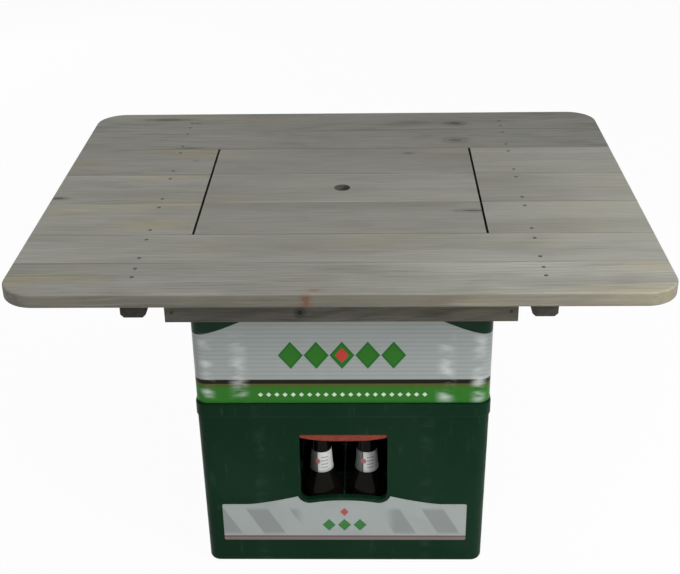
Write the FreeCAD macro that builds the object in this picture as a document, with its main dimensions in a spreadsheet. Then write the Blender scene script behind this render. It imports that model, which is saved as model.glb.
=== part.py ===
"""Crate table: two stacked bottle crates under a loose wooden top with a lift-out hatch.

Millimetres. Z is up, the front of the table faces -Y, and the origin is on the ground
under the middle of the table.
"""

import FreeCAD, Part
import os
import re

import Sketcher

Vector = FreeCAD.Vector

# Bottle compartments in each crate.
CELLS_LONG = 6
CELLS_DEEP = 4

# Driving sizes in millimetres.
SIZES = {
    # table top
    "top_length": 779.0,
    "board_thickness": 18.0,
    "outer_board_width": 80.0,
    "board_seam": 0.8,
    "corner_radius": 41.5,
    "arris_radius": 3.0,
    "hatch_opening": 370.0,
    "hatch_end_gap": 3.0,
    "finger_hole_diameter": 22.0,
    # battens under the boards
    "batten_setback": 30.0,
    "batten_width": 30.0,
    "batten_thickness": 28.0,
    "batten_bevel": 4.0,
    "hatch_batten_width": 40.0,
    "hatch_batten_thickness": 18.0,
    "hatch_batten_inset": 66.0,
    "hatch_batten_play": 4.0,
    # collar round the upper crate
    "collar_thickness": 18.0,
    "collar_height": 95.0,
    "collar_end_play": 6.5,
    "collar_side_play": 4.0,
    # nails and screws
    "shank_diameter": 2.6,
    "head_diameter": 4.8,
    "head_height": 1.4,
    "tip_cover": 6.0,
    "screw_bite": 27.0,
    "fastener_edge": 14.0,
    "fastener_play": 0.2,
    # crates
    "rim_length": 400.0,
    "rim_depth": 300.0,
    "rim_height": 20.0,
    "rim_width": 11.0,
    "rim_chamfer": 2.0,
    "rim_step": 1.5,
    "lower_draft": 2.0,
    "upper_draft": 0.3,
    "crate_wall": 3.5,
    "crate_floor": 4.0,
    "crate_corner": 16.0,
    "mouth_corner": 6.5,
    "crate_bottom_edge": 3.5,
    "nest_depth": 5.0,
    "nest_play": 0.75,
    "foot_width": 8.0,
    "lower_height": 275.0,
    "upper_height": 239.5,
    # hand holes
    "hole_width": 121.0,
    "hole_corner": 12.0,
    "hole_bow_radius": 250.0,
    "hole_frame_width": 4.0,
    "hole_frame_depth": 7.0,
    "lower_hole_bottom": 114.5,
    "lower_hole_drop": 30.0,
    "upper_hole_height": 50.0,
    "upper_hole_drop": 24.0,
    # red grips
    "grip_depth": 14.0,
    "grip_middle": 14.0,
    "grip_end": 5.5,
    "grip_nose": 12.0,
    "grip_play": 0.5,
    # compartment strips
    "strip_thickness": 2.5,
    "strip_drop": 4.0,
    "strip_play": 0.6,
    "slot_play": 0.3,
    # stowed bottles
    "bottle_play": 0.4,
    "bottle_headroom": 53.0,
    "bottle_body": 96.0,
    "bottle_shoulder": 38.0,
    "neck_root_diameter": 32.0,
    "neck_diameter": 27.0,
    "glass": 3.0,
    "cap_diameter": 31.0,
    "cap_height": 7.0,
    "cap_sheet": 0.8,
}

# Sizes that follow from the driving ones.
DERIVED = {
    "mouth_length": "=rim_length - 2 * rim_width",
    "mouth_depth": "=rim_depth - 2 * rim_width",
    "wall_length": "=rim_length - 2 * rim_step",
    "wall_depth": "=rim_depth - 2 * rim_step",
    "base_length": "=wall_length - 2 * lower_draft",
    "base_depth": "=wall_depth - 2 * lower_draft",
    "cavity_length": "=base_length - 2 * crate_wall",
    "cavity_depth": "=base_depth - 2 * crate_wall",
    "foot_length": "=mouth_length - 2 * nest_play",
    "foot_depth": "=mouth_depth - 2 * nest_play",
    "floor_top": "=nest_depth + crate_floor",
    "crate_bottom_bend": "=crate_bottom_edge * (1 - sqrt(2) / 2)",
    "lower_hole_height": "=lower_height - rim_height - lower_hole_drop - lower_hole_bottom",
    "upper_hole_bottom": "=upper_height - rim_height - upper_hole_drop - upper_hole_height",
    "strip_height": "=lower_hole_bottom - hole_frame_width - strip_drop - floor_top",
    "cell_length": f"=cavity_length / {CELLS_LONG}",
    "cell_depth": f"=cavity_depth / {CELLS_DEEP}",
    "upper_base": "=lower_height - nest_depth",
    "underside": "=upper_base + upper_height",
    "bottle_diameter": "=min(cell_length; cell_depth) - strip_thickness - 2 * bottle_play",
    "bottle_height": "=upper_base - floor_top - bottle_headroom",
    "cap_foot": "=floor_top + bottle_height - cap_height + cap_sheet",
    "hatch_board_width": "=(rim_depth - 2 * board_seam) / 3",
    "hatch_length": "=hatch_opening - 2 * hatch_end_gap",
    "hatch_row": "=hatch_board_width + board_seam",
    "inner_row": "=(rim_depth + outer_board_width) / 2 + board_seam",
    "edge_row": "=inner_row + outer_board_width + board_seam",
    "top_depth": "=2 * edge_row + outer_board_width",
    "short_length": "=(top_length - hatch_opening) / 2",
    "short_middle": "=(top_length + hatch_opening) / 4",
    "hatch_batten_middle": "=hatch_length / 2 - hatch_batten_inset",
    "collar_inner_length": "=rim_length + 2 * collar_end_play",
    "collar_inner_depth": "=rim_depth + 2 * collar_side_play",
    "collar_length": "=collar_inner_length + 2 * collar_thickness",
    "collar_bottom": "=underside - collar_height",
    "batten_middle": "=(collar_length + batten_width) / 2",
    "batten_length": "=top_depth - 2 * batten_setback",
    "nail_length": "=board_thickness + batten_thickness - tip_cover",
    "collar_screw_length": "=collar_thickness + screw_bite",
    "side_screw_length": "=collar_thickness + batten_width - tip_cover",
    "hatch_screw_length": "=hatch_batten_thickness + board_thickness - tip_cover",
}

doc = FreeCAD.newDocument("crate_table")
sheet = doc.addObject("Spreadsheet::Sheet", "Sizes")
nodes = []


def fill_sheet():
    """Write every size into the sheet, one row each, under its own alias."""
    cells = {**SIZES, **DERIVED}
    for row, alias in enumerate(cells, start=1):
        sheet.set(f"A{row}", alias.replace("_", " "))
        sheet.set(f"B{row}", str(cells[alias]))
        sheet.setAlias(f"B{row}", alias)
    doc.recompute()


def size(alias):
    """Read one size from the sheet."""
    return float(sheet.get(alias))


def bound(formula):
    """Turn the size names in a formula into references to the sheet."""
    return re.sub(r"[a-z_]+", lambda word: f"Sizes.{word.group()}", formula)


def bind(thing, **formulas):
    """Bind properties of an object, or x, y and z of its place, to formulas."""
    for name, formula in formulas.items():
        path = f"Placement.Base.{name}" if name in "xyz" else name
        thing.setExpression(path, bound(formula))


def keep(thing, label):
    """Take an object as a finished sub-part of the table."""
    thing.Label = label
    nodes.append(thing)
    return thing


def new_body(name, **place):
    """Start a body at a place given by formulas."""
    body = doc.addObject("PartDesign::Body", name)
    bind(body, **place)
    return body


def new_sketch(body, name, role="XY_Plane", height=None):
    """Start a sketch on one of the body's own planes, raised by a formula."""
    plane = next(item for item in body.Origin.OriginFeatures if item.Role == role)
    sketch = body.newObject("Sketcher::SketchObject", name)
    sketch.AttachmentSupport = [(plane, "")]
    sketch.MapMode = "FlatFace"
    if height:
        sketch.setExpression("AttachmentOffset.Base.z", bound(height))
    return sketch


def dimension(sketch, kind, name, formula, *points):
    """Add a named dimension to a sketch and bind it to a formula."""
    index = sketch.addConstraint(Sketcher.Constraint(kind, *points))
    sketch.renameConstraint(index, name)
    sketch.setExpression(f"Constraints.{name}", bound(formula))


def relate(sketch, *relations):
    """Add plain geometric constraints to a sketch."""
    for relation in relations:
        sketch.addConstraint(Sketcher.Constraint(*relation))


def draw_rectangle(sketch, length, width):
    """Draw a rectangle centred on the sketch's origin."""
    corners = [Vector(-50, -20), Vector(50, -20), Vector(50, 20), Vector(-50, 20)]
    for start, end in zip(corners, corners[1:] + corners[:1]):
        sketch.addGeometry(Part.LineSegment(start, end), False)
    for line in range(4):
        relate(sketch, ("Coincident", line, 2, (line + 1) % 4, 1))
        relate(sketch, ("Horizontal" if line % 2 == 0 else "Vertical", line))
    relate(sketch, ("Symmetric", 0, 1, 1, 2, -1, 1))
    dimension(sketch, "DistanceX", "length", length, 0, 1, 0, 2, 100.0)
    dimension(sketch, "DistanceY", "width", width, 1, 1, 1, 2, 40.0)


def rough_arc(x, y, radius, start_degrees, end_degrees):
    """Give an arc for a rough outline, counter-clockwise from its start."""
    start = FreeCAD.Units.Quantity(f"{start_degrees} deg").getValueAs("rad").Value
    end = FreeCAD.Units.Quantity(f"{end_degrees} deg").getValueAs("rad").Value
    return Part.ArcOfCircle(Part.Circle(Vector(x, y), Vector(0, 0, 1), radius), start, end)


def corner_arc(x, y, start_degrees):
    """Give a quarter circle for a rough rounded corner."""
    return rough_arc(x, y, 10, start_degrees, start_degrees + 90)


def draw_rounded_rectangle(sketch, length, width, radius):
    """Draw a rectangle with four rounded corners, centred on the sketch's origin."""
    outline = [
        Part.LineSegment(Vector(-90, -60), Vector(90, -60)),
        corner_arc(90, -50, 270),
        Part.LineSegment(Vector(100, -50), Vector(100, 50)),
        corner_arc(90, 50, 0),
        Part.LineSegment(Vector(90, 60), Vector(-90, 60)),
        corner_arc(-90, 50, 90),
        Part.LineSegment(Vector(-100, 50), Vector(-100, -50)),
        corner_arc(-90, -50, 180),
    ]
    for piece in outline:
        sketch.addGeometry(piece, False)
    for piece in range(8):
        relate(sketch, ("Tangent", piece, 2, (piece + 1) % 8, 1))
    relate(sketch, ("Horizontal", 0), ("Horizontal", 4), ("Vertical", 2), ("Vertical", 6))
    relate(sketch, ("Equal", 1, 3), ("Equal", 1, 5), ("Equal", 1, 7))
    relate(sketch, ("Symmetric", 0, 1, 4, 1, -1, 1))
    dimension(sketch, "DistanceX", "length", length, 6, 1, 2, 1, 200.0)
    dimension(sketch, "DistanceY", "width", width, 0, 1, 4, 1, 120.0)
    dimension(sketch, "Radius", "corner", radius, 1, 10.0)


def draw_hand_hole(sketch, width, bottom, height, radius, bow):
    """Draw an opening with a straight top, rounded lower corners and a lower edge that bows up."""
    outline = [
        Part.LineSegment(Vector(-60, 200), Vector(-60, 120)),
        corner_arc(-50, 120, 180),
        rough_arc(0, -135, 250, 78, 102),
        corner_arc(50, 120, 270),
        Part.LineSegment(Vector(60, 120), Vector(60, 200)),
        Part.LineSegment(Vector(60, 200), Vector(-60, 200)),
    ]
    for piece in outline:
        sketch.addGeometry(piece, False)
    relate(sketch, ("Tangent", 0, 2, 1, 1), ("Tangent", 1, 2, 2, 2))
    relate(sketch, ("Tangent", 2, 1, 3, 1), ("Tangent", 3, 2, 4, 1))
    relate(sketch, ("Coincident", 4, 2, 5, 1), ("Coincident", 5, 2, 0, 1))
    relate(sketch, ("Vertical", 0), ("Vertical", 4), ("Equal", 1, 3))
    relate(sketch, ("Symmetric", 5, 1, 5, 2, -2), ("PointOnObject", 2, 3, -2))
    dimension(sketch, "DistanceX", "width", width, 5, 2, 5, 1, 120.0)
    dimension(sketch, "DistanceY", "bottom", f"{bottom} + {radius}", -1, 1, 1, 3, 120.0)
    dimension(sketch, "DistanceY", "height", f"{height} - ({radius})", 1, 3, 5, 2, 80.0)
    dimension(sketch, "Radius", "corner", radius, 1, 10.0)
    dimension(sketch, "Radius", "bow", bow, 2, 250.0)


def pad(body, sketch, length, midplane=False):
    """Raise a sketch into a solid."""
    feature = body.newObject("PartDesign::Pad", f"{sketch.Name}_pad")
    feature.Profile = sketch
    feature.Midplane = midplane
    bind(feature, Length=length)
    return feature


def pocket(body, sketch, length, upward=False, midplane=False):
    """Cut a sketch out of the solid and check that it took something away."""
    doc.recompute()
    before = body.Shape.Volume
    feature = body.newObject("PartDesign::Pocket", f"{sketch.Name}_pocket")
    feature.Profile = sketch
    feature.Midplane = midplane
    feature.Reversed = upward
    bind(feature, Length=length)
    doc.recompute()
    if body.Shape.Volume >= before:
        raise RuntimeError(f"{feature.Name} cut nothing")
    return feature


def loft(body, kind, lowest, *higher):
    """Join sketches at different heights with straight sides."""
    feature = body.newObject(f"PartDesign::{kind}", f"{lowest.Name}_loft")
    feature.Profile = lowest
    feature.Sections = list(higher)
    feature.Ruled = True
    return feature


def dress(body, kind, name, formula, wanted):
    """Fillet or chamfer the edges of a body that a test picks out."""
    doc.recompute()
    tip = body.Tip
    picked = [f"Edge{index}" for index, edge in enumerate(tip.Shape.Edges, start=1) if wanted(edge)]
    if not picked:
        raise RuntimeError(f"{name} found no edges")
    feature = body.newObject(f"PartDesign::{kind}", name)
    feature.Base = (tip, picked)
    bind(feature, **{"Radius" if kind == "Fillet" else "Size": formula})
    return feature


def middle(edge):
    """Give the middle point of an edge."""
    return edge.valueAt((edge.FirstParameter + edge.LastParameter) / 2)


def is_at(value, target):
    """Say whether a coordinate lies on a target."""
    return abs(value - target) < 1e-4


def spans(edge):
    """Give an edge's extents along X, Y and Z."""
    box = edge.BoundBox
    return box.XLength, box.YLength, box.ZLength


def upright(edge):
    """Say whether an edge stands straight up."""
    x_span, y_span, z_span = spans(edge)
    return z_span > 1e-4 and x_span < 1e-4 and y_span < 1e-4


def cut(base, tools, label):
    """Take the drilled holes out of a piece and keep what is left."""
    piece = doc.addObject("Part::Cut", f"{label}_drilled")
    piece.Base = base
    piece.Tool = tools
    return keep(piece, label)


def group(shapes, name):
    """Hold several loose solids in one object."""
    holder = doc.addObject("Part::Feature", name)
    holder.Shape = Part.makeCompound(shapes)
    return holder


# Nails and screws


def fastener(length, play=0.0):
    """Make a flat-headed nail or screw that points down from the origin, or its hole."""
    shank = Part.makeCylinder(
        size("shank_diameter") / 2 + play,
        length + play,
        Vector(0, 0, 0),
        Vector(0, 0, -1),
    )
    head = Part.makeCylinder(
        size("head_diameter") / 2 + play,
        size("head_height"),
        Vector(0, 0, 0),
        Vector(0, 0, -1),
    )
    return shank.fuse(head).removeSplitter()


def fasteners(label, length, places):
    """Make a group of fasteners and the group of holes that they sit in.

    Each place is the point of the head's face and the direction that the tip points to.
    """
    drilled = []
    fitted = []
    for point, direction in places:
        turn = FreeCAD.Rotation(Vector(0, 0, -1), Vector(*direction))
        for shapes, play in ((fitted, 0.0), (drilled, size("fastener_play"))):
            shape = fastener(length, play)
            shape.Placement = FreeCAD.Placement(Vector(*point), turn)
            shapes.append(shape)
    keep(group(fitted, label), label)
    return group(drilled, f"{label}_holes")


def plank_nail_places():
    """Give the two nails of every board over each cross batten."""
    top = size("underside") + size("board_thickness")
    edge = size("fastener_edge")
    outer_reach = size("outer_board_width") / 2 - edge
    hatch_reach = size("hatch_board_width") / 2 - edge
    inner_row = size("inner_row")
    edge_row = size("edge_row")
    rows = [inner_row - outer_reach, inner_row + outer_reach]
    rows += [edge_row - outer_reach, size("batten_length") / 2 - edge]
    rows += [hatch_reach, size("hatch_row") - hatch_reach, size("hatch_row") + hatch_reach]
    places = []
    for side in (-1, 1):
        for row in rows:
            for end in (-1, 1):
                x = side * size("batten_middle")
                places.append(((x, end * row, top), (0, 0, -1)))
    return places


def collar_screw_places():
    """Give the screws through the front and back of the collar into its side boards."""
    x = (size("collar_length") - size("collar_thickness")) / 2
    y = size("collar_inner_depth") / 2 + size("collar_thickness")
    low = size("collar_bottom") + size("fastener_edge")
    high = size("collar_bottom") + size("collar_height") / 2
    places = []
    for side in (-1, 1):
        for end in (-1, 1):
            for z in (low, high):
                places.append(((end * x, side * y, z), (0, -side, 0)))
    return places


def side_screw_places():
    """Give the screws through the collar's side boards into the cross battens."""
    x = size("collar_inner_length") / 2
    z = size("underside") - size("batten_thickness") / 2
    y = size("collar_inner_depth") / 2 - 2 * size("fastener_edge")
    places = []
    for side in (-1, 1):
        for row in (-1, 0, 1):
            places.append(((side * x, row * y, z), (side, 0, 0)))
    return places


def hatch_screw_places():
    """Give the screws from below through the hatch battens into its boards."""
    z = size("underside") - size("hatch_batten_thickness")
    reach = size("hatch_board_width") / 2 - 2 * size("fastener_edge")
    places = []
    for side in (-1, 1):
        for row in (-1, 0, 1):
            for end in (-1, 1):
                x = side * size("hatch_batten_middle")
                y = row * size("hatch_row") + end * reach
                places.append(((x, y, z), (0, 0, 1)))
    return places


# Boards of the top


def board(name, length, width, **place):
    """Make one flat board, lying on the battens."""
    body = new_body(f"{name}_body", z="underside", **place)
    outline = new_sketch(body, f"{name}_outline")
    draw_rectangle(outline, length, width)
    pad(body, outline, "board_thickness")
    return body


def ease_arris(body, name, outer_ends, outer_side=0):
    """Round the upper and lower edges that lie on the outline of the top.

    Outer_ends holds -1 for a left end on the outline and 1 for a right end. Outer_side is -1
    where the front of the board is on the outline and 1 where its back is.
    """
    half_length = body.Tip.Shape.BoundBox.XLength / 2
    half_width = body.Tip.Shape.BoundBox.YLength / 2
    radius = size("corner_radius")

    def on_outline(edge):
        """Say whether an edge of the board is also an edge of the whole top."""
        point = middle(edge)
        flat = spans(edge)[2] < 1e-4
        at_end = any(is_at(point.x, end * half_length) for end in outer_ends)
        at_side = outer_side != 0 and is_at(point.y, outer_side * half_width)
        in_corner = outer_side * point.y > half_width - radius and abs(point.x) > half_length - radius
        return flat and (at_end or at_side or (outer_side != 0 and in_corner))

    dress(body, "Fillet", f"{name}_arris", "arris_radius", on_outline)


def full_length_board(name, row, outer_side):
    """Make a board that runs the whole length of the top."""
    body = board(name, "top_length", "outer_board_width", y=row)
    doc.recompute()
    if outer_side:
        half_width = size("outer_board_width") / 2
        dress(
            body,
            "Fillet",
            f"{name}_corners",
            "corner_radius",
            lambda edge: upright(edge) and is_at(middle(edge).y, outer_side * half_width),
        )
    doc.recompute()
    ease_arris(body, name, (-1, 1), outer_side)
    return body


def build_boards(holes):
    """Make the ten fixed boards of the top."""
    long_boards = {
        "front_edge_board": ("-edge_row", -1),
        "front_inner_board": ("-inner_row", 0),
        "back_inner_board": ("inner_row", 0),
        "back_edge_board": ("edge_row", 1),
    }
    for name, (row, outer_side) in long_boards.items():
        cut(full_length_board(name, row, outer_side), holes, name)
    rows = {"front": "-hatch_row", "middle": "0", "back": "hatch_row"}
    for side, sign in (("left", -1), ("right", 1)):
        for row, formula in rows.items():
            name = f"{side}_{row}_board"
            body = board(name, "short_length", "hatch_board_width", x=f"{sign} * short_middle", y=formula)
            doc.recompute()
            ease_arris(body, name, (sign,))
            cut(body, holes, name)


def build_hatch(holes):
    """Make the three boards of the hatch and the two battens under it."""
    rows = {"front": "-hatch_row", "middle": "0", "back": "hatch_row"}
    for row, formula in rows.items():
        name = f"hatch_{row}_board"
        body = board(name, "hatch_length", "hatch_board_width", y=formula)
        if row == "middle":
            finger_hole = new_sketch(body, "finger_hole")
            finger_hole.addGeometry(Part.Circle(Vector(0, 0), Vector(0, 0, 1), 10), False)
            relate(finger_hole, ("Coincident", 0, 3, -1, 1))
            dimension(finger_hole, "Diameter", "bore", "finger_hole_diameter", 0, 20.0)
            pocket(body, finger_hole, "board_thickness", upward=True)
        cut(body, holes, name)
    for side, sign in (("left", -1), ("right", 1)):
        name = f"hatch_batten_{side}"
        batten = doc.addObject("Part::Box", f"{name}_blank")
        bind(
            batten,
            Length="hatch_batten_width",
            Width="mouth_depth - 2 * hatch_batten_play",
            Height="hatch_batten_thickness",
            x=f"{sign} * hatch_batten_middle - hatch_batten_width / 2",
            y="hatch_batten_play - mouth_depth / 2",
            z="underside - hatch_batten_thickness",
        )
        cut(batten, holes, name)


# Battens and collar under the top


def build_cross_battens(holes):
    """Make the two bevelled battens that the boards are nailed to."""
    for side, sign in (("left", -1), ("right", 1)):
        name = f"cross_batten_{side}"
        body = new_body(f"{name}_body", x=f"{sign} * batten_middle", z="underside - batten_thickness")
        outline = new_sketch(body, f"{name}_outline")
        draw_rectangle(outline, "batten_width", "batten_length")
        pad(body, outline, "batten_thickness")
        dress(
            body,
            "Chamfer",
            f"{name}_bevel",
            "batten_bevel",
            lambda edge: is_at(middle(edge).z, 0) and spans(edge)[1] > 1e-4,
        )
        cut(body, holes, name)


def build_collar(holes):
    """Make the four boards of the collar that drops round the upper crate."""
    for side, sign in (("front", -1), ("back", 1)):
        blank = doc.addObject("Part::Box", f"collar_{side}_blank")
        inset = "collar_thickness" if sign < 0 else "0"
        bind(
            blank,
            Length="collar_length",
            Width="collar_thickness",
            Height="collar_height",
            x="-collar_length / 2",
            y=f"{sign} * collar_inner_depth / 2 - {inset}",
            z="collar_bottom",
        )
        cut(blank, holes, f"collar_{side}")
    for side, sign in (("left", -1), ("right", 1)):
        blank = doc.addObject("Part::Box", f"collar_{side}_blank")
        inset = "collar_thickness" if sign < 0 else "0"
        bind(
            blank,
            Length="collar_thickness",
            Width="collar_inner_depth",
            Height="collar_height",
            x=f"{sign} * collar_inner_length / 2 - {inset}",
            y="-collar_inner_depth / 2",
            z="collar_bottom",
        )
        cut(blank, holes, f"collar_{side}")


# Crates


def build_crate(crate, base):
    """Make the moulded shell of the lower or upper crate, standing at the height of its base."""
    name = f"{crate}_crate"
    height = f"{crate}_height"
    body = new_body(name, z=base)

    def ring(part, length, width, radius, level=None):
        """Sketch a rounded rectangle at a level of the crate."""
        sketch = new_sketch(body, f"{name}_{part}", height=level)
        draw_rounded_rectangle(sketch, length, width, radius)
        return sketch

    def bottom_ring(part, inset, rise):
        """Sketch the outside of the crate on its rounded bottom edge."""
        return ring(
            part,
            f"wall_length - 2 * ({crate}_draft + {inset})",
            f"wall_depth - 2 * ({crate}_draft + {inset})",
            f"crate_corner - {inset}",
            f"nest_depth + {rise}",
        )

    rim_bottom = f"{height} - rim_height"
    bottom = bottom_ring("bottom", "crate_bottom_edge", "0")
    bend = bottom_ring("bend", "crate_bottom_bend", "crate_bottom_bend")
    wall_low = bottom_ring("wall_low", "0", "crate_bottom_edge")
    wall_high = ring("wall_high", "wall_length", "wall_depth", "crate_corner", rim_bottom)
    loft(body, "AdditiveLoft", bottom, bend, wall_low, wall_high)
    pad(body, ring("rim", "rim_length", "rim_depth", "crate_corner + rim_step", rim_bottom), "rim_height")
    top = size(height)
    dress(
        body,
        "Chamfer",
        f"{name}_rim_edge",
        "rim_chamfer",
        lambda edge: is_at(middle(edge).z, top) and spans(edge)[2] < 1e-4,
    )
    pad(body, ring("foot", "foot_length", "foot_depth", "mouth_corner"), "nest_depth")
    recess = ring("recess", "foot_length - 2 * foot_width", "foot_depth - 2 * foot_width", "mouth_corner")
    pocket(body, recess, "nest_depth", upward=True)
    inner_corner = "crate_corner - crate_wall"
    cavity_low = ring("cavity_low", "cavity_length", "cavity_depth", inner_corner, "floor_top")
    cavity_high = ring(
        "cavity_high",
        "wall_length - 2 * crate_wall",
        "wall_depth - 2 * crate_wall",
        inner_corner,
        rim_bottom,
    )
    loft(body, "SubtractiveLoft", cavity_low, cavity_high)
    mouth = ring("mouth", "mouth_length", "mouth_depth", "mouth_corner", height)
    pocket(body, mouth, "rim_height")
    cut_hand_holes(body, crate)
    keep(body, name)


def cut_hand_holes(body, crate):
    """Give a crate a framed hand hole in its front and its back."""
    bottom = f"{crate}_hole_bottom"
    height = f"{crate}_hole_height"
    for side, shift in (("front", "base_depth / 2 - hole_frame_depth"), ("back", "-base_depth / 2")):
        frame = new_sketch(body, f"{crate}_frame_{side}", "XZ_Plane", shift)
        draw_hand_hole(
            frame,
            "hole_width + 2 * hole_frame_width",
            f"{bottom} - hole_frame_width",
            f"{height} + 2 * hole_frame_width",
            "hole_corner + hole_frame_width",
            "hole_bow_radius - hole_frame_width",
        )
        pad(body, frame, "hole_frame_depth")
    hole = new_sketch(body, f"{crate}_hand_hole", "XZ_Plane")
    draw_hand_hole(hole, "hole_width", bottom, height, "hole_corner", "hole_bow_radius")
    pocket(body, hole, "2 * rim_depth", midplane=True)


def build_strips(crate, base):
    """Make the slotted strips that divide one crate into bottle compartments."""
    across = range(1, CELLS_LONG)
    along = range(1, CELLS_DEEP)
    slot_width = "(strip_thickness + 2 * slot_play)"
    for number in along:
        name = f"{crate}_long_strip_{number}"
        y = f"({number} - {CELLS_DEEP} / 2) * cell_depth"
        blank = doc.addObject("Part::Box", f"{name}_blank")
        bind(
            blank,
            Length="cavity_length - 2 * strip_play",
            Width="strip_thickness",
            Height="strip_height",
            x="strip_play - cavity_length / 2",
            y=f"{y} - strip_thickness / 2",
            z=f"{base} + floor_top",
        )
        slots = []
        for other in across:
            slot = doc.addObject("Part::Box", f"{name}_slot_{other}")
            bind(
                slot,
                Length=slot_width,
                Width="cell_depth",
                Height="strip_height",
                x=f"({other} - {CELLS_LONG} / 2) * cell_length - {slot_width} / 2",
                y=f"{y} - cell_depth / 2",
                z=f"{base} + floor_top + strip_height / 2",
            )
            slots.append(slot)
        cut(blank, joined(slots, f"{name}_slots"), name)
    for number in across:
        name = f"{crate}_cross_strip_{number}"
        x = f"({number} - {CELLS_LONG} / 2) * cell_length"
        blank = doc.addObject("Part::Box", f"{name}_blank")
        bind(
            blank,
            Length="strip_thickness",
            Width="cavity_depth - 2 * strip_play",
            Height="strip_height",
            x=f"{x} - strip_thickness / 2",
            y="strip_play - cavity_depth / 2",
            z=f"{base} + floor_top",
        )
        slots = []
        for other in along:
            slot = doc.addObject("Part::Box", f"{name}_slot_{other}")
            bind(
                slot,
                Length="cell_length",
                Width=slot_width,
                Height="strip_height / 2",
                x=f"{x} - cell_length / 2",
                y=f"({other} - {CELLS_DEEP} / 2) * cell_depth - {slot_width} / 2",
                z=f"{base} + floor_top",
            )
            slots.append(slot)
        cut(blank, joined(slots, f"{name}_slots"), name)


def joined(pieces, name):
    """Hold several objects together as one tool."""
    holder = doc.addObject("Part::Compound", name)
    holder.Links = pieces
    return holder


def build_grips():
    """Make the red grips under the top edge of the lower crate's hand holes."""
    half = "(hole_width / 2 - grip_play)"
    rise = "(grip_middle - grip_end)"
    radius = f"({half} ^ 2 + {rise} ^ 2) / (2 * {rise})"
    hole_top = "lower_hole_bottom + lower_hole_height"
    for side, sign in (("front", -1), ("back", 1)):
        block = doc.addObject("Part::Box", f"grip_{side}_block")
        outer = "0" if sign < 0 else "grip_depth"
        bind(
            block,
            Length=f"2 * {half}",
            Width="grip_depth",
            Height="grip_middle",
            x=f"-{half}",
            y=f"{sign} * base_depth / 2 - {outer}",
            z=f"{hole_top} - grip_middle",
        )
        bow = doc.addObject("Part::Cylinder", f"grip_{side}_bow")
        bow.Placement.Rotation = FreeCAD.Rotation(Vector(1, 0, 0), -90)
        bind(
            bow,
            Radius=radius,
            Height="2 * grip_depth",
            y=f"{sign} * base_depth / 2 - grip_depth",
            z=f"{hole_top} - grip_middle + {radius}",
        )
        nose = doc.addObject("Part::Cylinder", f"grip_{side}_nose")
        nose.Placement.Rotation = FreeCAD.Rotation(Vector(0, 1, 0), 90)
        bind(
            nose,
            Radius="grip_nose",
            Height=f"2 * {half}",
            x=f"-{half}",
            y=f"{sign} * (base_depth / 2 - grip_nose)",
            z=f"{hole_top} - grip_end",
        )
        grip = doc.addObject("Part::MultiCommon", f"grip_{side}_shape")
        grip.Shapes = [block, bow, nose]
        keep(grip, f"grip_{side}")


# Stowed bottles


def bottle_form(name, inset):
    """Make the body, shoulder and tapering neck of a bottle, drawn in by a formula."""
    body = doc.addObject("Part::Cylinder", f"{name}_body")
    bind(body, Radius=f"bottle_diameter / 2 - {inset}", Height=f"bottle_body - {inset}", z=inset)
    shoulder = doc.addObject("Part::Cone", f"{name}_shoulder")
    bind(
        shoulder,
        Radius1=f"bottle_diameter / 2 - {inset}",
        Radius2=f"neck_root_diameter / 2 - {inset}",
        Height="bottle_shoulder",
        z="bottle_body",
    )
    neck = doc.addObject("Part::Cone", f"{name}_neck")
    bind(
        neck,
        Radius1=f"neck_root_diameter / 2 - {inset}",
        Radius2=f"neck_diameter / 2 - {inset}",
        Height="bottle_height - bottle_body - bottle_shoulder",
        z="bottle_body + bottle_shoulder",
    )
    form = doc.addObject("Part::MultiFuse", name)
    form.Shapes = [body, shoulder, neck]
    form.Refine = True
    return form


def build_bottles():
    """Make one capped bottle for each compartment of the lower crate."""
    bottle = doc.addObject("Part::Cut", "bottle_pattern")
    bottle.Base = bottle_form("bottle_outside", "0")
    bottle.Tool = bottle_form("bottle_inside", "glass")
    cap_outside = doc.addObject("Part::Cylinder", "cap_outside")
    bind(cap_outside, Radius="cap_diameter / 2", Height="cap_height")
    cap_inside = doc.addObject("Part::Cylinder", "cap_inside")
    bind(cap_inside, Radius="cap_diameter / 2 - cap_sheet", Height="cap_height - cap_sheet")
    cap = doc.addObject("Part::Cut", "cap_pattern")
    cap.Base = cap_outside
    cap.Tool = cap_inside
    doc.recompute()
    bottles = []
    caps = []
    for column in range(CELLS_LONG):
        for row in range(CELLS_DEEP):
            x = (column - (CELLS_LONG - 1) / 2) * size("cell_length")
            y = (row - (CELLS_DEEP - 1) / 2) * size("cell_depth")
            bottles.append(bottle.Shape.translated(Vector(x, y, size("floor_top"))))
            caps.append(cap.Shape.translated(Vector(x, y, size("cap_foot"))))
    keep(group(bottles, "bottles"), "bottles")
    keep(group(caps, "bottle_caps"), "bottle_caps")


def check_and_write():
    """Stop if anything failed, then write each sub-part to its own file."""
    doc.recompute()
    failed = [item.Label for item in doc.Objects if {"Invalid", "Error"} & set(item.State)]
    failed += [node.Label for node in nodes if node.Shape.isNull() or not node.Shape.isValid()]
    if failed:
        raise RuntimeError(f"failed: {failed}")
    os.makedirs("parts", exist_ok=True)
    for node in nodes:
        node.Shape.exportStep(f"parts/{node.Label}.step")
        box = node.Shape.BoundBox
        print(f"{node.Label}: {len(node.Shape.Solids)} solids, z {box.ZMin:.1f} to {box.ZMax:.1f}")


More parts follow.
